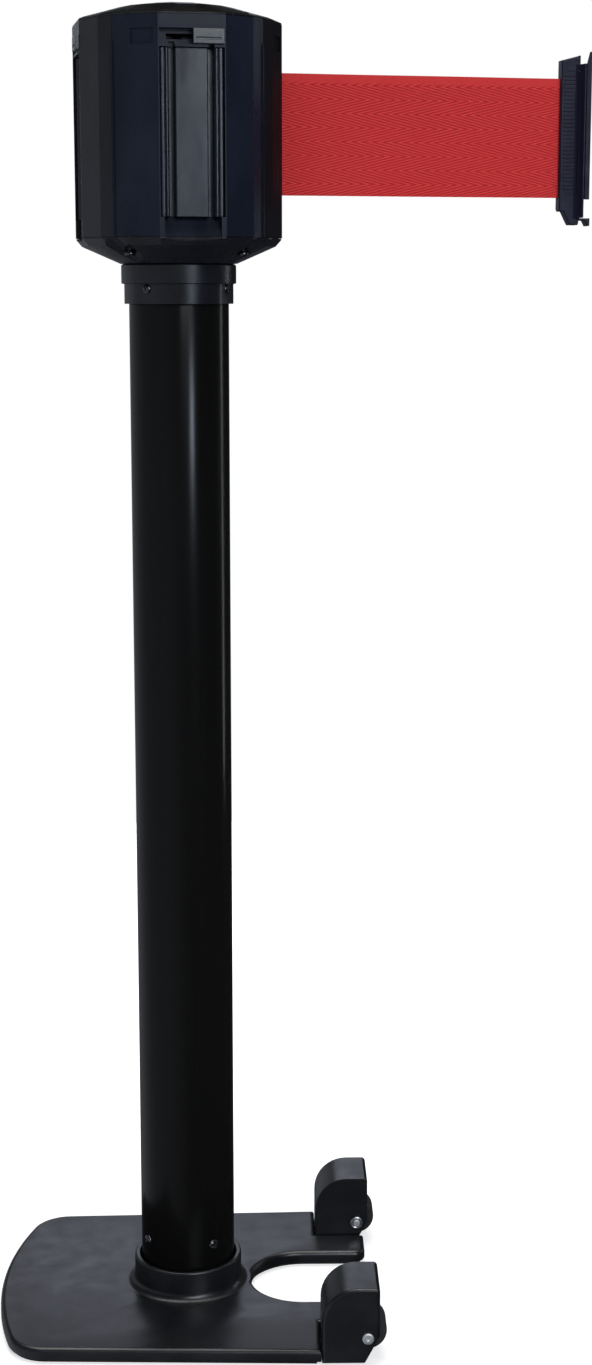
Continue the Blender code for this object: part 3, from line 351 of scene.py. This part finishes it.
def inset(outline, depth):
    """The anticlockwise outline moved inwards by depth, with mitred corners."""
    moved = []
    for i, point in enumerate(outline):
        here = Vector(point)
        before = (here - Vector(outline[i - 1])).normalized()
        after = (Vector(outline[(i + 1) % len(outline)]) - here).normalized()
        n1 = Vector((-before.y, before.x))
        n2 = Vector((-after.y, after.x))
        shift = (n1 + n2) * (depth / (1 + n1.dot(n2)))
        moved.append((here.x + shift.x, here.y + shift.y))
    return moved


def stand_for(obj, body, slot, *nodes):
    """The piece rides on the body and is shown in place of the CAD nodes. The slot is not used."""
    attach(obj, body)
    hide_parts(*nodes)
    return obj


def turn_into_base(obj):
    obj.data.transform(Matrix.Rotation(BASE_TURN, 4, "Z"))
    return obj


def refine(node, mat, width, segments=2, angle=28):
    """Rounds a solid's edges and smooths it, on the CAD node itself."""
    obj = NODES[node]
    obj.data.materials.clear()
    obj.data.materials.append(mat)
    if "custom_normal" in obj.data.attributes:
        obj.data.attributes.remove(obj.data.attributes["custom_normal"])
    obj.data.shade_smooth()
    weld = obj.modifiers.new("weld", "WELD")
    weld.merge_threshold = 0.000002
    flat = obj.modifiers.new("flat", "DECIMATE")
    flat.decimate_type = "DISSOLVE"
    flat.angle_limit = math.radians(0.5)
    bevel = obj.modifiers.new("bevel", "BEVEL")
    bevel.width = width
    bevel.segments = segments
    bevel.limit_method = "ANGLE"
    bevel.angle_limit = math.radians(angle)
    bevel.miter_outer = "MITER_ARC"
    normals = obj.modifiers.new("normals", "WEIGHTED_NORMAL")
    normals.keep_sharp = False
    return obj


def plain_finish(node, mat, smooth=30):
    """A CAD node that keeps its mesh and gets its material and smooth shading."""
    obj = NODES[node]
    obj.data.materials.clear()
    obj.data.materials.append(mat)
    if "custom_normal" in obj.data.attributes:
        obj.data.attributes.remove(obj.data.attributes["custom_normal"])
    obj.data.shade_smooth()
    weld = obj.modifiers.new("weld", "WELD")
    weld.merge_threshold = 0.000002
    obj.data.set_sharp_from_angle(angle=math.radians(smooth))
    return obj


# ---------------------------------------------------------------- camera, lights and floor


def make_camera():
    data = bpy.data.cameras.new("camera")
    data.lens = 56.27
    data.sensor_width = 36
    camera = bpy.data.objects.new("camera", data)
    camera.location = (-0.2423, -1.6408, 0.8174)
    camera.rotation_euler = (math.radians(90 - 10.37), 0, math.radians(-11.49))
    SCENE.collection.objects.link(camera)
    SCENE.camera = camera


def add_light(name, place, target, size, power, colour):
    data = bpy.data.lights.new(name, "AREA")
    data.shape = "RECTANGLE"
    data.size, data.size_y = size
    data.energy = power
    data.color = colour
    light = bpy.data.objects.new(name, data)
    light.location = place
    light.rotation_euler = (Vector(target) - Vector(place)).to_track_quat("-Z", "Y").to_euler()
    SCENE.collection.objects.link(light)
    return light


def make_lights():
    """Soft light from above and in front, a glow and a panel for the flat faces, a strip for the tube."""
    add_light("window", (0.5, -3.2, 2.3), (0, 0, 0.6), (1.6, 1.2), 60, (0.90, 0.94, 1.0))
    add_light("face_glow", (1.02, -3.0, 1.12), (0, 0, 0.93), (0.42, 0.26), 13, (0.74, 0.84, 1.0))
    add_light("back_panel", (0.42, 2.6, 1.25), (0, 0, 0.2), (1.3, 0.6), 4.6, (0.80, 0.85, 1.0))
    add_light("right_strip", (2.3, 0.62, 0.9), (0, 0, 0.6), (0.10, 2.0), 4, (0.95, 0.97, 1.0))
    add_light("overhead", (0.0, 0.4, 3.2), (0, 0, 0), (2.4, 2.4), 90, (1.0, 1.0, 1.0))


class World:
    """Node helpers for the room that the object mirrors."""

    def __init__(self, tree):
        self.tree = tree

    def ramp(self, value, low, high, out_low, out_high):
        made = self.tree.nodes.new("ShaderNodeMapRange")
        made.interpolation_type = "SMOOTHSTEP"
        self.tree.links.new(value, made.inputs["Value"])
        limits = (low, high, out_low, out_high)
        for name, number in zip(("From Min", "From Max", "To Min", "To Max"), limits):
            made.inputs[name].default_value = number
        return made.outputs["Result"]

    def math(self, operation, first, second):
        made = self.tree.nodes.new("ShaderNodeMath")
        made.operation = operation
        self.tree.links.new(first, made.inputs[0])
        self.tree.links.new(second, made.inputs[1])
        return made.outputs[0]


def make_world():
    """Seen directly it is a white backdrop; mirrored, a dim room, lighter at the left and low behind."""
    world = bpy.data.worlds.new("studio")
    world.use_nodes = True
    tree = world.node_tree
    shown = tree.nodes["Background"]
    shown.inputs["Color"].default_value = (1.0, 1.0, 1.0, 1.0)
    shown.inputs["Strength"].default_value = 1.0
    room = tree.nodes.new("ShaderNodeBackground")
    room.inputs["Color"].default_value = (0.84, 0.90, 1.0, 1.0)
    helper = World(tree)
    coords = tree.nodes.new("ShaderNodeTexCoord")
    split = tree.nodes.new("ShaderNodeSeparateXYZ")
    tree.links.new(coords.outputs["Generated"], split.inputs[0])
    left = helper.ramp(split.outputs["X"], -0.80, 0.15, 0.42, 0.02)
    behind = helper.ramp(split.outputs["Y"], 0.90, 0.99, 0.0, 0.14)
    low_down = helper.ramp(split.outputs["Z"], 0.18, 0.38, 1.0, 0.12)
    glow = helper.math("MULTIPLY", helper.math("ADD", left, behind), low_down)
    tree.links.new(glow, room.inputs["Strength"])
    rays = tree.nodes.new("ShaderNodeLightPath")
    mix = tree.nodes.new("ShaderNodeMixShader")
    tree.links.new(rays.outputs["Is Camera Ray"], mix.inputs["Fac"])
    tree.links.new(room.outputs[0], mix.inputs[1])
    tree.links.new(shown.outputs[0], mix.inputs[2])
    tree.links.new(mix.outputs[0], tree.nodes["World Output"].inputs["Surface"])
    SCENE.world = world
    SCENE.view_settings.view_transform = "Standard"


def make_floor():
    """A white sheet that glows enough to meet the backdrop, and less close by, where shadows fall."""
    bm = bmesh.new()
    bmesh.ops.create_circle(bm, cap_ends=True, radius=1.6, segments=96)
    shader = Shader("floor_paper", (0.60, 0.60, 0.60), 0.9)
    distance = shader.node("ShaderNodeVectorMath", Vector=shader.coords)
    distance.operation = "LENGTH"
    glow = shader.remap(distance.outputs["Value"], 0.20, 0.55, 0.62, 1.05)
    shader.link(glow, shader.bsdf.inputs["Emission Strength"])
    shader.set("Emission Color", (1.0, 1.0, 1.0, 1.0))
    shader.set("Specular IOR Level", 0.1)
    floor = from_bmesh("floor", bm, shader.mat)
    floor.location.z = -0.0002
    floor.visible_glossy = False


# ---------------------------------------------------------------- base


def base_outline():
    """The plate's outline in the base's own axes, as the solid has it but with finer arcs."""
    half = arc((NOTCH_X, 0), NOTCH_RADIUS, 180, 90, 32)
    half += arc((ARM_END_X - ARM_CORNER, NOTCH_RADIUS + ARM_CORNER), ARM_CORNER, -90, 0, 10)
    inner, fender = FENDER_INNER_Y - GAP, FENDER_X0 - GAP
    half += [(ARM_END_X, inner), (fender, inner), (fender, FENDER_OUTER_Y)]
    centre_x = END_X + END_ARC_RADIUS
    lean = math.atan(SIDE_TAPER)
    drop = FENDER_OUTER_Y - SIDE_TAPER * FENDER_X0 - CORNER_RADIUS / math.cos(lean)
    a = 1 + SIDE_TAPER**2
    b = drop * SIDE_TAPER - centre_x
    c = centre_x**2 + drop**2 - (END_ARC_RADIUS - CORNER_RADIUS) ** 2
    x = (-b - math.sqrt(b * b - a * c)) / a
    y = drop + SIDE_TAPER * x
    meet = math.degrees(math.atan2(y, x - centre_x))
    half += arc((x, y), CORNER_RADIUS, 90 + math.degrees(lean), meet, 18)
    half += arc((centre_x, 0), END_ARC_RADIUS, meet, 180, 18)[1:]
    return half + [(px, -py) for px, py in reversed(half)][1:-1]


def make_base_plate(mat):
    """The cast plate with well-rounded edges, and the boss that rises from it in a fillet."""
    outline = base_outline()
    low, high = PLATE_LOW, PLATE_TOP
    edge = 0.0040
    levels = [(low, 0.0018), (low + 0.0005, 0.0007), (low + 0.0016, 0.0), (high - edge, 0.0)]
    levels += [(high - edge + z, edge - x) for x, z in arc((0, 0), edge, 0, 90, 7)[1:]]
    rings = [[(x, y, z) for x, y in inset(outline, depth)] for z, depth in levels]
    plate = turn_into_base(loft("cast_base_plate", rings, mat, smooth=35))
    stand_for(plate, "post", "cast_paint", "base_plate")
    sweep, outer_edge, inner_edge = 0.0065, 0.0016, 0.0012
    foot_radius = BOSS_RADIUS + sweep
    fillet = [(foot_radius - dx, high + sweep - dz) for dx, dz in arc((0, 0), sweep, 90, 0, 8)]
    profile = [(BOSS_BORE, high - 0.004), (0.0515, high - 0.004), (0.0515, high + 0.0001), *fillet]
    profile += arc((BOSS_RADIUS - outer_edge, BOSS_TOP - outer_edge), outer_edge, 0, 90, 5)
    profile += arc((BOSS_BORE + inner_edge, BOSS_TOP - inner_edge), inner_edge, 90, 180, 4)
    ring = lathe("cast_base_boss", profile, 128, mat, closed=True, smooth=40)
    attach(ring, "post")


def make_wheel(side, sign, rubber, hub_mat):
    """A tyre with a crowned, grooved tread on a spoked hub."""
    hub = Matrix.Translation((AXLE_X, sign * WHEEL_MIDDLE_Y, AXLE_Z))
    centre = Matrix.Rotation(BASE_TURN, 4, "Z") @ hub @ Matrix.Rotation(math.pi / 2, 4, "X")
    half, bore, groove, crown = 0.0125, 0.0098, 0.0008, 0.0022
    radius = WHEEL_RADIUS
    profile = [(bore, -half)]
    profile += [(radius - crown + dx, -half + crown + dz) for dx, dz in arc((0, 0), crown, -90, 0, 5)]
    for k in (-1, 0, 1):
        z = k * 0.0045
        profile += [(radius, z - 0.0009), (radius - groove, z - 0.0005)]
        profile += [(radius - groove, z + 0.0005), (radius, z + 0.0009)]
    profile += [(radius - crown + dx, half - crown + dz) for dx, dz in arc((0, 0), crown, 0, 90, 5)]
    profile += [(bore, half)]
    tyre = lathe(f"{side}_tread", profile, 72, rubber, closed=True)
    tyre.data.transform(centre)
    stand_for(tyre, f"{side}_wheel", "tyre", f"{side}_wheel_tyre")
    refine(f"{side}_wheel_hub", hub_mat, 0.0004)


def make_axle(side, sign, steel):
    """The pin with its spun, dimpled head outside the fender."""
    face, end = FENDER_OUTER_Y + GAP, FENDER_INNER_Y - 0.003
    chamfer, head, rim, dome = 0.0006, 0.0046, 0.0006, 0.0011
    profile = [(AXLE_RADIUS - chamfer, end), (AXLE_RADIUS, end + chamfer), (AXLE_RADIUS, face)]
    profile += [(head - 0.0002, face), (head, face + 0.0002), (head, face + rim)]
    for k in range(1, 7):
        t = math.radians(15 * k)
        profile.append((head - 0.0012 * (1 - math.cos(t)), face + rim + dome * math.sin(t)))
    profile += [(0.0016, face + 0.0018), (0.0012, face + 0.0015), (0.0007, face + 0.0010)]
    pin = lathe(f"{side}_axle_rivet", profile, 48, steel)
    pin.data.transform(
        Matrix.Rotation(BASE_TURN, 4, "Z")
        @ Matrix.Translation((AXLE_X, 0, AXLE_Z))
        @ Matrix.Rotation(-sign * math.pi / 2, 4, "X")
    )
    stand_for(pin, "post", "steel", f"{side}_axle_pin")


# ---------------------------------------------------------------- post, neck and screws


def make_post(mat):
    inner = POST_RADIUS - POST_WALL
    edge = 0.0006
    profile = [(inner, POST_FOOT), *arc((POST_RADIUS - edge, POST_FOOT + edge), edge, -90, 0, 3)]
    profile += [*arc((POST_RADIUS - edge, POST_TOP - edge), edge, 0, 90, 3), (inner, POST_TOP)]
    post = lathe("painted_post", profile, 160, mat, closed=True)
    stand_for(post, "post", "post_paint", "post_tube")


def pan_screw(name, radius, thickness, shank, length, mat):
    """A domed screw along +Z with its seat at the origin and a cross recess."""
    dome_angles = [math.radians(10 * k) for k in range(9)]
    dome = [(radius * math.cos(t), thickness * math.sin(t)) for t in dome_angles]
    screw = lathe(name, [(shank, -length), (shank, 0), *dome, (radius * 0.06, thickness)], 40, mat)
    for k in range(2):
        slot_box = bmesh.new()
        bmesh.ops.create_cube(slot_box, size=1)
        bmesh.ops.scale(slot_box, vec=(radius * 1.05, radius * 0.24, thickness), verts=slot_box.verts)
        bmesh.ops.translate(slot_box, vec=(0, 0, thickness * 1.05), verts=slot_box.verts)
        turn = Matrix.Rotation(math.pi / 2 * k + 0.6, 3, "Z")
        bmesh.ops.rotate(slot_box, matrix=turn, verts=slot_box.verts)
        cutter = from_bmesh(f"{name}_slot_{k + 1}", slot_box, mat)
        modifier = screw.modifiers.new("slot", "BOOLEAN")
        modifier.object = cutter
        modifier.operation = "DIFFERENCE"
        bpy.context.view_layer.objects.active = screw
        with bpy.context.temp_override(object=screw, active_object=screw, selected_objects=[screw]):
            bpy.ops.object.modifier_apply(modifier=modifier.name)
        bpy.data.objects.remove(cutter, do_unlink=True)
    screw.data.set_sharp_from_angle(angle=math.radians(30))
    return screw


def make_radial_screws(kind, angles, height, seat, radius, thickness, mat):
    for k, angle in enumerate(angles):
        screw = pan_screw(f"{kind}_{k + 1}_pan", radius, thickness, 0.0020, 0.008, mat)
        screw.data.transform(
            Matrix.Translation((0, 0, height)) @ Matrix.Rotation(angle, 4, "Z")
            @ Matrix.Rotation(math.pi / 2, 4, "Y") @ Matrix.Translation((0, 0, seat))
        )
        stand_for(screw, "post", "black_steel", f"{kind}_{k + 1}")


# ---------------------------------------------------------------- belt and clip


def make_belt(mat):
    """The web from the roll to the grip: a strip with thick rolled selvedges, very slightly slack."""
    low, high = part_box("belt_web")
    across, count = 28, 160
    thick, selvedge, ripple = 0.00075, 0.0006, 0.0005
    straight, last = 0.0555, high.x - 0.0006
    path = [(low.x + 0.0009, high.y - 0.0006), (0.0490, 0.0014), (0.0515, 0.0004), (straight, 0.0)]
    path += [(straight + (last - straight) * (k + 1) / count, 0.0) for k in range(count)]
    bm = bmesh.new()
    rows = []
    for i, (x, y) in enumerate(path):
        ahead = Vector(path[min(i + 1, len(path) - 1)]) - Vector(path[max(i - 1, 0)])
        side = Vector((-ahead.y, ahead.x)).normalized()
        ring = []
        for face in (1, -1):
            steps = range(across + 1) if face == 1 else range(across, -1, -1)
            for j in steps:
                t = j / across
                edge = min(t, 1 - t) * (high.z - low.z)
                swell = 1 + 0.25 * math.exp(-((edge - 0.0022) / 0.0012) ** 2)
                if edge < selvedge:
                    swell = 0.55
                slack = ripple * math.sin(9 * x / 0.22 + 2.2 * t) * min(1, max(0, (x - 0.078) / 0.03))
                slack *= min(1, max(0, (last - 0.004 - x) / 0.03))
                off = side * (face * thick / 2 * swell + slack)
                ring.append(bm.verts.new((x + off.x, y + off.y, low.z + t * (high.z - low.z))))
        rows.append(ring)
    skin(bm, rows)
    belt = from_bmesh("woven_belt_web", bm, mat, 50)
    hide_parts("belt_web")
    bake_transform(belt)


def make_clip_ribs(mat):
    """The grip's side: a field of fine ribs inside a raised bracket, on both faces."""
    low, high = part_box("clip_body")
    face = GRIP_HALF
    x0, x1 = low.x + 0.0022, low.x + 0.0112
    z0, z1 = RIBS_LOW, RIBS_TOP
    count = 30
    pitch = (z1 - z0) / count
    for word, sign in (("front", -1), ("rear", 1)):
        bm = bmesh.new()
        for k in range(count):
            z = z0 + pitch * (k + 0.5)
            add_bar(bm, (x0, x1), sign * face, z, pitch * 0.30, 0.0005, sign)
        ribs = from_bmesh(f"clip_{word}_ribs", bm, mat)
        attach(ribs, "clip")
        bracket = make_bracket(f"clip_{word}_bracket", low.x, sign, z0, z1, mat)
        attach(bracket, "clip")


def add_bar(bm, span, face, z, half, rise, sign):
    """A low rounded bar along X that stands out of a face."""
    profile = [(-half, -0.0004), (-half, 0.0), (-half * 0.6, rise * 0.8), (0, rise)]
    profile += [(half * 0.6, rise * 0.8), (half, 0.0), (half, -0.0004)]
    rings = []
    for x, scale in ((span[0], 0.2), (span[0] + 0.0006, 1.0), (span[1] - 0.0006, 1.0), (span[1], 0.2)):
        ring = []
        for dz, out in profile:
            ring.append(bm.verts.new((x, face + sign * (out * scale if out > 0 else out), z + dz)))
        rings.append(ring)
    skin(bm, rings)


def flare(x):
    """How far the grip's face has curved outwards at x from its left edge."""
    return GRIP_HALF + 0.0092 * max(0.0, (x - 0.0110) / 0.0050) ** 2


def make_bracket(name, left, sign, z0, z1, mat):
    """A raised line above, right of and below the ribs, with rounded corners, on the curving face."""
    right, radius, width, rise = 0.0136, 0.0020, 0.0006, 0.0005
    low, high = z0 - 0.0022, z1 + 0.0022
    path = [(0.0050, high), *arc((right - radius, high - radius), radius, 90, 0, 6)]
    path += [*arc((right - radius, low + radius), radius, 0, -90, 6), (0.0050, low)]
    bm = bmesh.new()
    rings = []
    for i, (x, z) in enumerate(path):
        ahead = (Vector(path[min(i + 1, len(path) - 1)]) - Vector(path[max(i - 1, 0)])).normalized()
        side = Vector((-ahead.y, ahead.x))
        ring = []
        for across, out in ((-1, -0.0006), (-1, 0), (-0.5, rise), (0.5, rise), (1, 0), (1, -0.0006)):
            off = side * (across * width)
            ring.append(bm.verts.new((left + x + off.x, sign * (flare(x + off.x) + out), z + off.y)))
        rings.append(ring)
    skin(bm, rings)
    return from_bmesh(name, bm, mat)


# ---------------------------------------------------------------- the whole stanchion


def main():
    make_camera()
    make_lights()
    make_world()
    make_floor()

    cast = cast_paint()
    gloss = post_paint()
    plastic = head_plastic()
    dome = head_plastic("cap_plastic", (0.0050, 0.0050, 0.0050), 0.13, 0.20, 0.45)
    # The front shell is the same moulding as the other shells, coloured lighter and bluer: painted light.
    front = head_plastic("front_plastic_painted_light", (0.0070, 0.0090, 0.0160), 0.24, 0.36, 0.14)
    # The outlet shell is the same moulding as the other shells, coloured darker: painted shade.
    outlet = head_plastic("outlet_plastic_painted_shade", (0.0040, 0.0042, 0.0060), 0.55, 0.65, 0.08)
    insert = receiver_plastic()
    tab = lock_plastic()
    grip = clip_plastic()
    dull = nylon()
    tread = tread_rubber("tread_rubber", (0.010, 0.010, 0.010))
    pad = tread_rubber("pad_rubber", (0.012, 0.012, 0.012))
    belt = woven_belt()
    steel = metal("bright_steel", (0.62, 0.62, 0.63), 0.22, 0.36)
    rivet = metal("rivet_zinc", (0.86, 0.86, 0.87), 0.50, 0.65)
    zinc = metal("zinc_sheet", (0.52, 0.53, 0.54), 0.30, 0.45)
    black_steel = metal("black_oxide", (0.10, 0.10, 0.105), 0.20, 0.32)
    iron = metal("raw_casting", (0.16, 0.16, 0.165), 0.55, 0.7)

    make_base_plate(cast)
    for side, sign in (("front", -1), ("rear", 1)):
        refine(f"{side}_wheel_fender", cast, 0.0012, 3)
        make_wheel(side, sign, tread, dull)
        make_axle(side, sign, rivet)
        plain_finish(f"{side}_axle_clip", steel)
        plain_finish(f"{side}_fender_screw", steel)
    plain_finish("floor_pad", pad)
    plain_finish("base_bolt", steel)

    make_post(gloss)
    make_radial_screws(
        "foot_screw", FOOT_ANGLES, FOOT_SCREW_HEIGHT,
        seat=0.0383, radius=0.0044, thickness=0.0022, mat=black_steel,
    )
    make_radial_screws(
        "collar_screw", COLLAR_ANGLES, COLLAR_SCREW_HEIGHT,
        seat=0.0404, radius=0.0036, thickness=0.0018, mat=black_steel,
    )
    refine("neck_collar", plastic, 0.0005, 2, 20)
    for node in ("foot_plug", "neck_plug"):
        plain_finish(node, iron)
    plain_finish("neck_bolt", black_steel)

    refine("head_cone", plastic, 0.0006, 2, 14)
    refine("head_cap", dome, 0.0006, 2, 6)
    refine("outlet_shell", outlet, 0.0004, 2, 14)
    refine("front_shell", front, 0.0004, 2, 14)
    for name in ("rear", "left"):
        refine(f"{name}_shell", plastic, 0.0004, 2, 14)
    for name in ("belt_outlet", "rear_receiver", "left_receiver", "front_receiver"):
        refine(name, insert, 0.00022, 2, 25)
    for name in ("rear", "left", "front"):
        refine(f"{name}_lock", tab, 0.0005)
    for k in range(4):
        plain_finish(f"tie_screw_{k + 1}", black_steel)

    plain_finish("cassette_frame", zinc)
    for node in ("guide_pin_1", "guide_pin_2", "spool_axle", "recoil_spring", "belt_wedge"):
        plain_finish(node, steel)
    for node in ("spool_drum", "spring_cover"):
        plain_finish(node, dull)
    plain_finish("belt_roll", belt)

    make_belt(belt)
    refine("clip_body", grip, 0.0005, 2)
    refine("clip_rail", grip, 0.0004, 2)
    make_clip_ribs(grip)


main()
